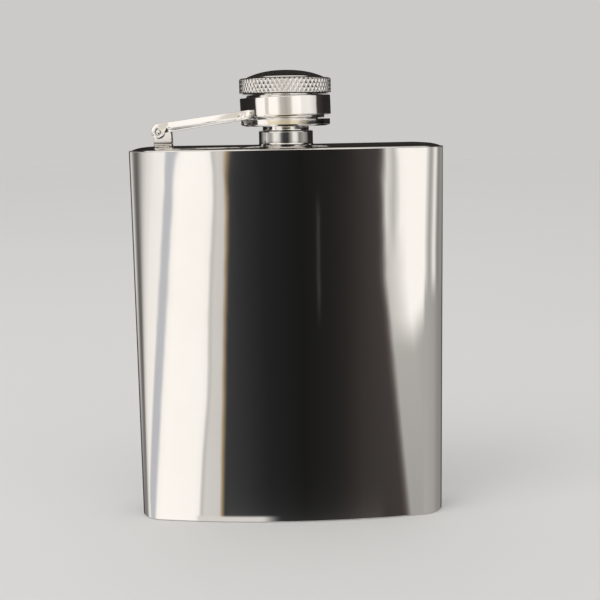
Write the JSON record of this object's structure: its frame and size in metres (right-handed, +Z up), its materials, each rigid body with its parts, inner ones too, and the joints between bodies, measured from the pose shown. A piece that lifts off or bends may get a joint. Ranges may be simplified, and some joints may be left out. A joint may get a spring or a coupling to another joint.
{
  "type": "hip flask",
  "caption": "Curved stainless steel hip flask with a knurled screw cap held by a swinging arm on its shoulder, for carrying a small amount of drink in a pocket.",
  "frame": {"origin": "centre of the flask's bounding box, on the plane that the base stands on", "axes": "+Z up along the neck, +X to the right seen from the convex front, -Y out of the convex front; the hinge is at -X"},
  "size_m": [0.095, 0.028, 0.1371],
  "materials": {
    "polished_steel": "mirror polished stainless steel",
    "turned_steel": "turned and lightly polished",
    "arm_steel": "polished",
    "knurled_steel": "diamond knurl around a smooth domed top",
    "gasket_rubber": "translucent off-white silicone"
  },
  "bodies": {
    "flask": {"body_shell": "polished_steel", "base_plate": "polished_steel", "top_plate": "polished_steel", "neck": "turned_steel", "hinge_bracket": "turned_steel", "hinge_rivet": "turned_steel"},
    "arm": {"swing_arm": "arm_steel", "captive_ring": "arm_steel"},
    "cap": {"cap_head": "knurled_steel", "cap_barrel": "turned_steel", "cap_flange": "arm_steel", "cap_gasket": "gasket_rubber"}
  },
  "joints": [
    {"name": "arm_swing", "type": "hinge", "parent": "flask", "child": "arm", "pos_m": [-0.038, -0.0003, 0.1194], "axis": [0, -1, 0], "range_deg": [0, 180]},
    {"name": "cap_spin", "type": "hinge", "parent": "arm", "child": "cap", "pos_m": [0, -0.0003, 0.1264], "axis": [0, 0, 1], "continuous": true}
  ]
}
